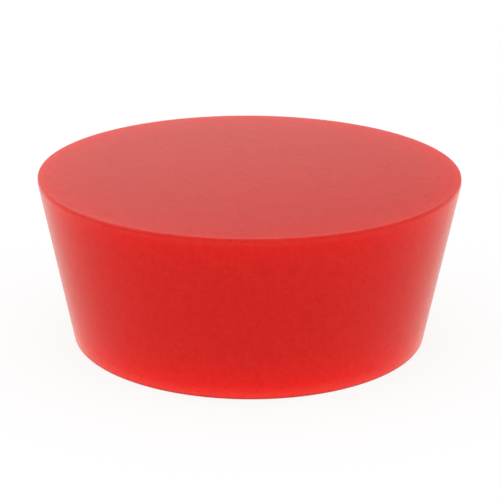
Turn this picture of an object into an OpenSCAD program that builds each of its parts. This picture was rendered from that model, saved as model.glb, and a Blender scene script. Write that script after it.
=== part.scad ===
// Solid tapered stopper, moulded in one piece from red silicone rubber.
// It stands on its narrow end. The origin is the middle of that face, +Z is up, in millimetres.

/* [Stopper] */
// Diameter of the wide top end, where the flank would meet the top face
top_d = 64; // [55:0.5:110]
// Diameter of the narrow bottom end, where the flank would meet the bottom face
bottom_d = 54; // [20:0.5:63]
// Height from the bottom face to the top face
height = 25.8; // [15:0.1:60]

/* [Edges] */
// Radius of the rim around the top face
rim_r = 0.2; // [0.1:0.05:3]
// Radius of the edge around the bottom face
toe_r = 0.5; // [0.1:0.05:3]

/* [Hidden] */
$fn = 128;

bottom_rad = bottom_d / 2;
flare = (top_d - bottom_d) / 2;
// Lean of the flank from the vertical
taper = atan(flare / height);
// Direction in which the flank faces, outwards and a little down
flank_facing = [cos(taper), -sin(taper)];
// The flank tucks this little under each rounding, so that the two meet in one seam
tuck = 0.0002;

// Radius of the flank at height z
function flank_rad(z) = bottom_rad + flare * z / height;

// Centre of an edge rounding of radius r, at height z, that the flank touches
function rounding_centre(r, z) = [flank_rad(z) - r / cos(taper), z];

// Half of the section, from the axis out to the flank
module half_section() {
    rim = rounding_centre(rim_r, height - rim_r);
    toe = rounding_centre(toe_r, toe_r);
    polygon([
        [0, 0],
        [toe.x, 0],
        toe + (toe_r - tuck) * flank_facing,
        rim + (rim_r - tuck) * flank_facing,
        [rim.x, height],
        [0, height]
    ]);
    translate(rim) circle(r = rim_r);
    translate(toe) circle(r = toe_r);
}

module stopper() {
    color("#D2251F") rotate_extrude() half_section();
}

stopper();
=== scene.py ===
"""Looks of a red silicone rubber stopper that stands on its narrow end on a pale light table."""

import math

import bmesh
import bpy
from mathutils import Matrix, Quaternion, Vector


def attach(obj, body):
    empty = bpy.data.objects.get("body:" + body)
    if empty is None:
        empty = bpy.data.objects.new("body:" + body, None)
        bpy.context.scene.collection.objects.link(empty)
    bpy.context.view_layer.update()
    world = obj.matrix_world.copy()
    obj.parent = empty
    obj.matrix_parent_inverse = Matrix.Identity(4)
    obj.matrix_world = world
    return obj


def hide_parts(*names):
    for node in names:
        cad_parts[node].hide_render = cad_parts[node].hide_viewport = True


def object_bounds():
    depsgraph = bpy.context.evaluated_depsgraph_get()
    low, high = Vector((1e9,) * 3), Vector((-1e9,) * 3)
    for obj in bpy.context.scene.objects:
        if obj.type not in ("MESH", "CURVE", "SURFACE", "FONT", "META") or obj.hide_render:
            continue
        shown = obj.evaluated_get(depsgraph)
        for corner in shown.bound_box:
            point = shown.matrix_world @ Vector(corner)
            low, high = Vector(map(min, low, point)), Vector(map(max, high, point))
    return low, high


MM = 0.001
WHITE = (1, 1, 1)

# Sizes of the stopper, whose height comes from the frame
TOP_DIAMETER = 64 * MM
BOTTOM_DIAMETER = 54 * MM
TOE_RADIUS = 0.5 * MM
# Half sizes of the rounding of the rim, which is drawn out down the flank
RIM_ACROSS = 0.12 * MM
RIM_UP = 0.45 * MM

# Fineness of its mesh
STEPS_AROUND = 256
STEPS_ACROSS_FACE = 16
STEPS_UP_FLANK = 20
STEPS_ROUND_EDGE = 10
EDGE_LOOP_GAP = 0.05 * MM

# Rubber: colour, and how far light of each colour travels in it
RUBBER_RED = (0.615, 0.0085, 0.0061)
MOTTLE_DROP = (0.04, 0.006, 0.0043)
SCATTER_SHARE = 0.65
SCATTER_DEPTH = 15.0 * MM
SCATTER_RADII = (1.0, 0.06, 0.05)
RUBBER_IOR = 1.41
SPECULAR_SHARE = 0.25
ROUGHNESS_LOW = 0.19
ROUGHNESS_HIGH = 0.25

# Rubber: mottling, grain and a gentle unevenness of the skin
MOTTLE_SIZE = 0.9 * MM
MOTTLE_DETAIL = 3
MOTTLE_ROUGHNESS = 1
MOTTLE_START = 0.35
MOTTLE_END = 0.65
GRAIN_SIZE = 0.35 * MM
WAVE_SIZE = 3.0 * MM
WAVE_DEPTH = 0.025 * MM
GRAIN_DEPTH = 0.0016 * MM
SKIN_DETAIL = 2
SKIN_ROUGHNESS = 0.5

# Rubber: painted light, a paler red by the rim and by the toe, and painted shade, a fine dark line along
# each
# Painted light: a paler red band along the rim, for its brighter glow
RIM_PAINTED_LIGHT_RED = (0.59, 0.025, 0.0192)
RIM_WIDTH = 1.6 * MM
# Painted light: a paler red band by the toe, for the bright table that shows in it
TOE_PAINTED_LIGHT_RED = (0.55, 0.039, 0.03)
TOE_WIDTH = 2.6 * MM
# Painted shade: a fine dark line just below the rim, where its rounding reflects less
RIM_PAINTED_SHADE_RED = (0.55, 0.017, 0.013)
RIM_LINE_WIDTH = 0.3 * MM
RIM_LINE_DROP = 0.34 * MM
# Painted shadow: a fine dark line along the toe, for the contact shadow on the table
TOE_PAINTED_SHADOW_RED = (0.27, 0.018, 0.014)
TOE_LINE_WIDTH = 0.5 * MM

# Rubber: scattered specks, and pits that lie in patches and end just below the top face
SPECK_RED = (0.5, 0.006, 0.005)
SPECK_SPACING = 2.0 * MM
SPECK_RADIUS = 0.25 * MM
PIT_RED = (0.42, 0.005, 0.004)
PIT_SPACING = 1.3 * MM
PIT_RADIUS = 0.3 * MM
PIT_REACH = 0.1 * MM
PATCH_SIZE = 7.0 * MM
PATCH_START = 0.48
PATCH_END = 0.62

# Camera
IMAGE_SIDE = 500
SENSOR_WIDTH = 36
FOCAL_PIXELS = 1815.0
CAMERA_DISTANCE = 278.6 * MM
CLIP_START_SHARE = 0.01
CAMERA_ELEVATION = math.radians(19.44)
CAMERA_ROLL = math.radians(0.266)
AIM_RIGHT = 0.114 * MM
AIM_UP = 0.18 * MM

# Light table, which is brightest under the stopper
TABLE_SIDE = 4.0
TABLE_GAP = 0.02 * MM
TABLE_SHADE = 0.15
TABLE_GLOW = 0.85
TABLE_LIGHT = (1, 1, 0.88)
UNDER_GLOW = 2.5
UNDER_GLOW_START = 22.0 * MM
UNDER_GLOW_END = 27.0 * MM

# Studio light all round, and a white backdrop that darkens towards the ceiling
STUDIO_LEVEL = 0.98
BACKDROP_WHITE = (1, 1, 0.93)
WHITE_LEVEL = 1.0
CEILING_LEVEL = 0.04
BACKDROP_TOP = math.sin(math.radians(13))
CEILING_START = math.sin(math.radians(28))
BACKDROP_TILT = math.radians(16)

# Two soft lamps at the sides
LAMP_SIDE = 0.8
LEFT_LAMP_PLACE = (-0.8, -0.2, 0.4)
LEFT_LAMP_POWER = 1.55
RIGHT_LAMP_PLACE = (0.8, -0.2, 0.4)
RIGHT_LAMP_POWER = 1.2


def arc(centre, across, up, start, end, steps):
    """Points of a round or oval arc in the section, as (distance from the axis, height)."""
    points = []
    for i in range(steps + 1):
        angle = start + (end - start) * i / steps
        points.append((centre[0] + across * math.cos(angle), centre[1] + up * math.sin(angle)))
    return points


def between(start, end, steps):
    """Points strictly between two points of the section, with an extra one close to each end."""
    length = math.dist(start, end)
    near = EDGE_LOOP_GAP / length
    shares = [near] + [i / steps for i in range(1, steps)] + [1 - near]
    return [tuple(a + (b - a) * share for a, b in zip(start, end)) for share in shares]


def flank_radius(z, height):
    """Radius of the flank at height z."""
    return (BOTTOM_DIAMETER + (TOP_DIAMETER - BOTTOM_DIAMETER) * z / height) / 2


def section(height):
    """Outline of half the section, from the middle of the bottom face to the middle of the top face."""
    slope = (TOP_DIAMETER - BOTTOM_DIAMETER) / 2 / height

    def rounding(across, up, z, end):
        """Points of an edge rounding, from where it touches the flank, with its centre at height z."""
        touch = -math.atan(slope * up / across)
        centre = flank_radius(z + up * math.sin(touch), height) - across * math.cos(touch)
        return arc((centre, z), across, up, touch, end, STEPS_ROUND_EDGE)

    toe = rounding(TOE_RADIUS, TOE_RADIUS, TOE_RADIUS, -math.pi / 2)[::-1]
    rim = rounding(RIM_ACROSS, RIM_UP, height - RIM_UP, math.pi / 2)
    flank = between(toe[-1], rim[0], STEPS_UP_FLANK)
    bottom_face = between((0, 0), toe[0], STEPS_ACROSS_FACE)[1:]
    top_face = between(rim[-1], (0, height), STEPS_ACROSS_FACE)[:-1]
    return bottom_face + toe + flank + rim + top_face


def build_stopper(height):
    """The stopper as one closed mesh of rings about its axis."""
    mesh = bmesh.new()
    rings = []
    for radius, z in section(height):
        ring = []
        for i in range(STEPS_AROUND):
            angle = 2 * math.pi * i / STEPS_AROUND
            ring.append(mesh.verts.new((radius * math.cos(angle), radius * math.sin(angle), z)))
        rings.append(ring)
    for lower, upper in zip(rings, rings[1:]):
        for i in range(STEPS_AROUND):
            j = (i + 1) % STEPS_AROUND
            mesh.faces.new((lower[i], lower[j], upper[j], upper[i]))
    foot = mesh.verts.new((0, 0, 0))
    crown = mesh.verts.new((0, 0, height))
    for i in range(STEPS_AROUND):
        j = (i + 1) % STEPS_AROUND
        mesh.faces.new((rings[0][j], rings[0][i], foot))
        mesh.faces.new((rings[-1][i], rings[-1][j], crown))
    for face in mesh.faces:
        face.smooth = True
    data = bpy.data.meshes.new("stopper_skin")
    mesh.to_mesh(data)
    mesh.free()
    piece = bpy.data.objects.new("stopper_skin", data)
    bpy.context.scene.collection.objects.link(piece)
    return piece


def add_node(tree, kind, inputs=None, **settings):
    """A new node, with each input set to a value or linked to another node's output."""
    node = tree.nodes.new(kind)
    for name, value in settings.items():
        setattr(node, name, value)
    for key, value in (inputs or {}).items():
        if isinstance(value, bpy.types.NodeSocket):
            tree.links.new(value, node.inputs[key])
        else:
            node.inputs[key].default_value = value
    return node


def calculate(tree, operation, first, second):
    """Result of the given math operation on two values."""
    return add_node(tree, "ShaderNodeMath", {0: first, 1: second}, operation=operation).outputs[0]


def ease(tree, value, start, end, low, high):
    """Result that goes smoothly from low to high as the value goes from start to end."""
    inputs = {"Value": value, "From Min": start, "From Max": end, "To Min": low, "To Max": high}
    return add_node(tree, "ShaderNodeMapRange", inputs, interpolation_type="SMOOTHSTEP").outputs["Result"]


def tint(tree, share, first, second, blend="MIX"):
    """Colour between two colours, of which the first may be another node's output."""
    colour = first if isinstance(first, bpy.types.NodeSocket) else (*first, 1)
    inputs = {0: share, 6: colour, 7: (*second, 1)}
    return add_node(tree, "ShaderNodeMix", inputs, data_type="RGBA", blend_type=blend).outputs[2]


def noise(tree, place, size, detail, roughness):
    """Noise with lumps of about the given size, and finer ones in them."""
    inputs = {"Vector": place, "Scale": 1 / size, "Detail": detail, "Roughness": roughness}
    return add_node(tree, "ShaderNodeTexNoise", inputs).outputs["Fac"]


def vector_length(tree, vector):
    """Length of a vector."""
    return add_node(tree, "ShaderNodeVectorMath", {0: vector}, operation="LENGTH").outputs["Value"]


def distance_to_edge(tree, place, radius, z):
    """Distance of a place from a circle about the axis, at height z."""
    parts = add_node(tree, "ShaderNodeSeparateXYZ", {0: place})
    flat = add_node(tree, "ShaderNodeCombineXYZ", {"X": parts.outputs["X"], "Y": parts.outputs["Y"]})
    across = calculate(tree, "SUBTRACT", vector_length(tree, flat.outputs[0]), radius)
    up = calculate(tree, "SUBTRACT", parts.outputs["Z"], z)
    offset = add_node(tree, "ShaderNodeCombineXYZ", {"X": across, "Y": up})
    return vector_length(tree, offset.outputs[0])


def specks(tree, place, spacing, radius):
    """One on scattered specks, and zero elsewhere."""
    cells = add_node(tree, "ShaderNodeTexVoronoi", {"Vector": place, "Scale": 1 / spacing})
    near = radius / spacing
    return ease(tree, cells.outputs["Distance"], near / 2, near, 1, 0)


def top_pits(tree, place, height):
    """One on small pits, which lie in patches on the top face, and zero elsewhere."""
    lumps = noise(tree, place, PATCH_SIZE, SKIN_DETAIL, SKIN_ROUGHNESS)
    patches = ease(tree, lumps, PATCH_START, PATCH_END, 0, 1)
    z = add_node(tree, "ShaderNodeSeparateXYZ", {0: place}).outputs["Z"]
    on_top = ease(tree, z, height - PIT_REACH, height, 0, 1)
    pits = calculate(tree, "MULTIPLY", specks(tree, place, PIT_SPACING, PIT_RADIUS), patches)
    return calculate(tree, "MULTIPLY", pits, on_top)


def painted_shade_line(tree, distance, width):
    """One on a line of painted shade along an edge, and zero past its width."""
    return ease(tree, distance, width / 2, width, 1, 0)


def rubber_colour(tree, place, mottle, height):
    """Mottled red with painted light, a paler red by the edges, and painted shade, a fine dark line along
    each, with pits and specks.
    """
    rim = distance_to_edge(tree, place, TOP_DIAMETER / 2, height)
    toe = distance_to_edge(tree, place, BOTTOM_DIAMETER / 2, 0)
    rim_line_z = height - RIM_LINE_DROP
    rim_line = distance_to_edge(tree, place, flank_radius(rim_line_z, height), rim_line_z)
    # Painted light: a paler red by the rim and by the toe
    colour = tint(tree, ease(tree, rim, 0, RIM_WIDTH, 1, 0), RUBBER_RED, RIM_PAINTED_LIGHT_RED)
    colour = tint(tree, ease(tree, toe, 0, TOE_WIDTH, 1, 0), colour, TOE_PAINTED_LIGHT_RED)
    # Painted shade: a fine dark line below the rim, and a painted contact shadow along the toe
    colour = tint(tree, painted_shade_line(tree, rim_line, RIM_LINE_WIDTH), colour, RIM_PAINTED_SHADE_RED)
    colour = tint(tree, painted_shade_line(tree, toe, TOE_LINE_WIDTH), colour, TOE_PAINTED_SHADOW_RED)
    colour = tint(tree, mottle, colour, MOTTLE_DROP, "SUBTRACT")
    colour = tint(tree, top_pits(tree, place, height), colour, PIT_RED)
    return tint(tree, specks(tree, place, SPECK_SPACING, SPECK_RADIUS), colour, SPECK_RED)


def rubber_skin(tree, place):
    """Direction in which the skin faces, with its gentle unevenness and fine grain."""
    waves = noise(tree, place, WAVE_SIZE, SKIN_DETAIL, SKIN_ROUGHNESS)
    uneven = add_node(tree, "ShaderNodeBump", {"Height": waves, "Distance": WAVE_DEPTH})
    grain = noise(tree, place, GRAIN_SIZE, SKIN_DETAIL, SKIN_ROUGHNESS)
    inputs = {"Height": grain, "Distance": GRAIN_DEPTH, "Normal": uneven.outputs[0]}
    return add_node(tree, "ShaderNodeBump", inputs).outputs[0]


def rubber_material(height):
    """Satin red silicone rubber that lets some light through."""
    material = bpy.data.materials.new("red_rubber")
    material.use_nodes = True
    tree = material.node_tree
    place = add_node(tree, "ShaderNodeTexCoord").outputs["Object"]
    lumps = noise(tree, place, MOTTLE_SIZE, MOTTLE_DETAIL, MOTTLE_ROUGHNESS)
    mottle = ease(tree, lumps, MOTTLE_START, MOTTLE_END, 0, 1)
    roughness = ease(tree, mottle, 0, 1, ROUGHNESS_LOW, ROUGHNESS_HIGH)
    shader = tree.nodes["Principled BSDF"]
    tree.links.new(rubber_colour(tree, place, mottle, height), shader.inputs["Base Color"])
    tree.links.new(roughness, shader.inputs["Roughness"])
    tree.links.new(rubber_skin(tree, place), shader.inputs["Normal"])
    shader.inputs["Subsurface Weight"].default_value = SCATTER_SHARE
    shader.inputs["Subsurface Radius"].default_value = SCATTER_RADII
    shader.inputs["Subsurface Scale"].default_value = SCATTER_DEPTH
    shader.inputs["IOR"].default_value = RUBBER_IOR
    shader.inputs["Specular IOR Level"].default_value = SPECULAR_SHARE
    return material


def seen_directly(tree):
    """One for what is seen, or shows in a reflection, and zero for light on its way to a surface."""
    path = add_node(tree, "ShaderNodeLightPath").outputs
    reflected = calculate(tree, "MAXIMUM", path["Is Glossy Ray"], path["Is Transmission Ray"])
    return calculate(tree, "MAXIMUM", path["Is Camera Ray"], reflected)


def build_table():
    """Pale light table."""
    bpy.ops.mesh.primitive_plane_add(size=TABLE_SIDE, location=(0, 0, -TABLE_GAP))
    table = bpy.context.object
    table.name = "table"
    material = bpy.data.materials.new("pale_table")
    material.use_nodes = True
    tree = material.node_tree
    place = add_node(tree, "ShaderNodeTexCoord").outputs["Object"]
    brightest = TABLE_GLOW + UNDER_GLOW
    glow = ease(tree, vector_length(tree, place), UNDER_GLOW_START, UNDER_GLOW_END, brightest, TABLE_GLOW)
    strength = add_node(tree, "ShaderNodeMix", {"Factor": seen_directly(tree), "A": glow, "B": TABLE_GLOW})
    shader = tree.nodes["Principled BSDF"]
    shader.inputs["Base Color"].default_value = (TABLE_SHADE, TABLE_SHADE, TABLE_SHADE, 1)
    shader.inputs["Roughness"].default_value = 1
    shader.inputs["Specular IOR Level"].default_value = 0
    seen = add_node(tree, "ShaderNodeLightPath").outputs["Is Camera Ray"]
    tree.links.new(tint(tree, seen, TABLE_LIGHT, WHITE), shader.inputs["Emission Color"])
    tree.links.new(strength.outputs["Result"], shader.inputs["Emission Strength"])
    table.data.materials.append(material)


def build_world():
    """Even studio light all round, with the backdrop and ceiling in its reflections."""
    world = bpy.data.worlds.new("studio")
    bpy.context.scene.world = world
    world.use_nodes = True
    tree = world.node_tree
    tree.nodes.clear()
    direction = add_node(tree, "ShaderNodeTexCoord").outputs["Generated"]
    slope = (math.sin(BACKDROP_TILT), 0, math.cos(BACKDROP_TILT))
    rise = add_node(tree, "ShaderNodeVectorMath", {0: direction, 1: slope}, operation="DOT_PRODUCT")
    level = ease(tree, rise.outputs["Value"], BACKDROP_TOP, CEILING_START, WHITE_LEVEL, CEILING_LEVEL)
    backdrop = add_node(tree, "ShaderNodeBackground", {"Color": (*BACKDROP_WHITE, 1), "Strength": level})
    light = add_node(tree, "ShaderNodeBackground", {"Color": (*WHITE, 1), "Strength": STUDIO_LEVEL})
    shown = {0: seen_directly(tree), 1: light.outputs[0], 2: backdrop.outputs[0]}
    mix = add_node(tree, "ShaderNodeMixShader", shown)
    add_node(tree, "ShaderNodeOutputWorld", {"Surface": mix.outputs[0]})


def build_lamp(name, place, power):
    """Square soft lamp that shines at the stopper."""
    data = bpy.data.lights.new(name, "AREA")
    data.shape = "SQUARE"
    data.size = LAMP_SIDE
    data.energy = power
    lamp = bpy.data.objects.new(name, data)
    lamp.location = place
    lamp.rotation_euler = (-Vector(place)).to_track_quat("-Z", "Y").to_euler()
    bpy.context.scene.collection.objects.link(lamp)


def build_camera(middle):
    """Camera in front of the stopper, a little above it."""
    data = bpy.data.cameras.new("camera")
    data.sensor_width = SENSOR_WIDTH
    data.lens = SENSOR_WIDTH * FOCAL_PIXELS / IMAGE_SIDE
    data.clip_start = CAMERA_DISTANCE * CLIP_START_SHARE
    camera = bpy.data.objects.new("camera", data)
    away = Vector((0, -math.cos(CAMERA_ELEVATION), math.sin(CAMERA_ELEVATION)))
    right = Vector((1, 0, 0))
    up = away.cross(right)
    place = middle + away * CAMERA_DISTANCE
    aim = middle + right * AIM_RIGHT + up * AIM_UP
    look = (aim - place).to_track_quat("-Z", "Y")
    roll = Quaternion(look @ Vector((0, 0, 1)), CAMERA_ROLL)
    camera.rotation_mode = "QUATERNION"
    camera.rotation_quaternion = roll @ look
    camera.location = place
    bpy.context.scene.collection.objects.link(camera)
    bpy.context.scene.camera = camera


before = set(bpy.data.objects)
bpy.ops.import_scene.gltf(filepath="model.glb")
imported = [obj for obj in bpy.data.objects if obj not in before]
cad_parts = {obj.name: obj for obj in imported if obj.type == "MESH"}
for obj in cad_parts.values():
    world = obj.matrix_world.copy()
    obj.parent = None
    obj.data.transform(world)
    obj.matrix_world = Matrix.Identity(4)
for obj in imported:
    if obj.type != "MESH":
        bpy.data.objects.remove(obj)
cad_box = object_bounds()
height = cad_box[1].z - cad_box[0].z

stopper = build_stopper(height)
stopper.data.materials.append(rubber_material(height))
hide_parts("stopper")
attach(stopper, "root")

build_table()
build_world()
build_lamp("left_lamp", LEFT_LAMP_PLACE, LEFT_LAMP_POWER)
build_lamp("right_lamp", RIGHT_LAMP_PLACE, RIGHT_LAMP_POWER)
build_camera(Vector((0, 0, height / 2)))
bpy.context.scene.view_settings.view_transform = "Standard"
